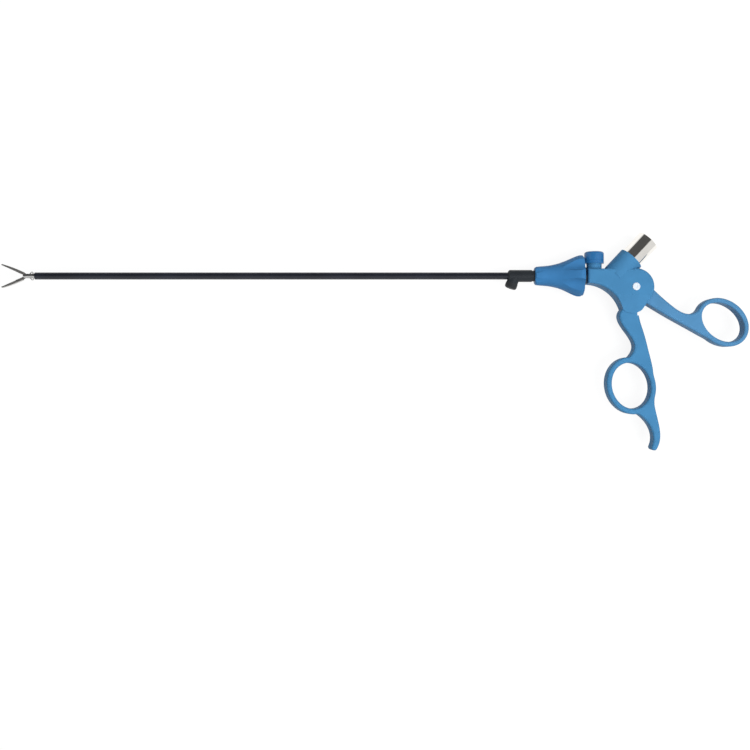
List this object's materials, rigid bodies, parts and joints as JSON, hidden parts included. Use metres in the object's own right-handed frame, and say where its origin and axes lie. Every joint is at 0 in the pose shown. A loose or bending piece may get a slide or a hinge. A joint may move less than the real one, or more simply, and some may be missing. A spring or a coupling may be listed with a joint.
{
  "type": "bipolar forceps",
  "caption": "Laparoscopic bipolar forceps: blue ring handle, rotating slim black shaft, two toothed jaws.",
  "frame": {"origin": "on the shaft's axis, where the shaft enters the flush hub", "axes": "+X along the shaft to the handle, +Y up in the plane of the handle, +Z across its thickness"},
  "size_m": [0.521, 0.1521, 0.0294],
  "materials": {
    "blue_plastic": "satin",
    "black_plastic": "satin",
    "black_rubber": "matte",
    "black_sleeve": "satin",
    "jaw_steel": "brushed",
    "polished_steel": "polished",
    "plain_steel": "satin",
    "spring_steel": "satin",
    "chrome": "polished",
    "white_ceramic": "satin",
    "white_plastic": "satin",
    "bronze": "satin",
    "brass": "polished"
  },
  "bodies": {
    "handle": {"fixed_handle": "blue_plastic", "front_bush": "bronze", "thrust_washer": "plain_steel", "pivot_screw": "polished_steel", "pivot_nut": "plain_steel", "connector_sleeve": "chrome", "connector_insulator": "white_plastic", "tube_contact": "brass", "rod_contact": "brass", "button_spring": "spring_steel"},
    "lever": {"thumb_lever": "blue_plastic", "lever_bush": "bronze"},
    "shaft": {"rotation_knob": "blue_plastic", "flush_hub": "black_plastic", "shaft_sleeve": "black_sleeve", "shaft_tube": "plain_steel", "rod_seal": "black_rubber", "clevis": "polished_steel", "jaw_pivot_pin": "polished_steel", "pivot_insulator": "white_ceramic"},
    "rod": {"push_rod": "plain_steel", "rod_insulation": "white_plastic", "rod_head": "white_plastic", "drive_pin": "polished_steel", "rod_ball": "plain_steel"},
    "jaw_up": {"upper_jaw": "jaw_steel"},
    "jaw_down": {"lower_jaw": "jaw_steel"},
    "button": {"release_button": "blue_plastic", "latch_plate": "plain_steel"},
    "cap": {"flush_cap": "black_rubber"}
  },
  "joints": [
    {"name": "thumb_squeeze", "type": "hinge", "parent": "handle", "child": "lever", "pos_m": [0.0878, -0.008, 0], "axis": [0, 0, -1], "range_deg": [0, 22]},
    {"name": "knob_spin", "type": "hinge", "parent": "handle", "child": "shaft", "pos_m": [0.035, 0, 0], "axis": [1, 0, 0], "continuous": true},
    {"name": "rod_slide", "type": "slide", "parent": "shaft", "child": "rod", "axis": [1, 0, 0], "range_m": [0, 0.00311]},
    {"name": "upper_jaw_close", "type": "hinge", "parent": "shaft", "child": "jaw_up", "pos_m": [-0.3376, 0, 0], "axis": [0, 0, 1], "range_deg": [0, 24]},
    {"name": "lower_jaw_close", "type": "hinge", "parent": "shaft", "child": "jaw_down", "pos_m": [-0.3376, 0, 0], "axis": [0, 0, -1], "range_deg": [0, 24]},
    {"name": "button_press", "type": "slide", "parent": "handle", "child": "button", "axis": [0, -1, 0], "range_m": [0, 0.0018], "stiffness_N_per_m": 400, "springref_m": -0.001, "deforming": ["button_spring"]},
    {"name": "cap_pull", "type": "slide", "parent": "shaft", "child": "cap", "axis": [-0.342, -0.9397, 0], "range_m": [0, 0.004]}
  ],
  "couplings": [
    {"joint": "rod_slide", "follows": "thumb_squeeze", "m_per_rad": 0.0080998},
    {"joint": "upper_jaw_close", "follows": "thumb_squeeze", "ratio": 1.0909},
    {"joint": "lower_jaw_close", "follows": "thumb_squeeze", "ratio": 1.0909}
  ]
}
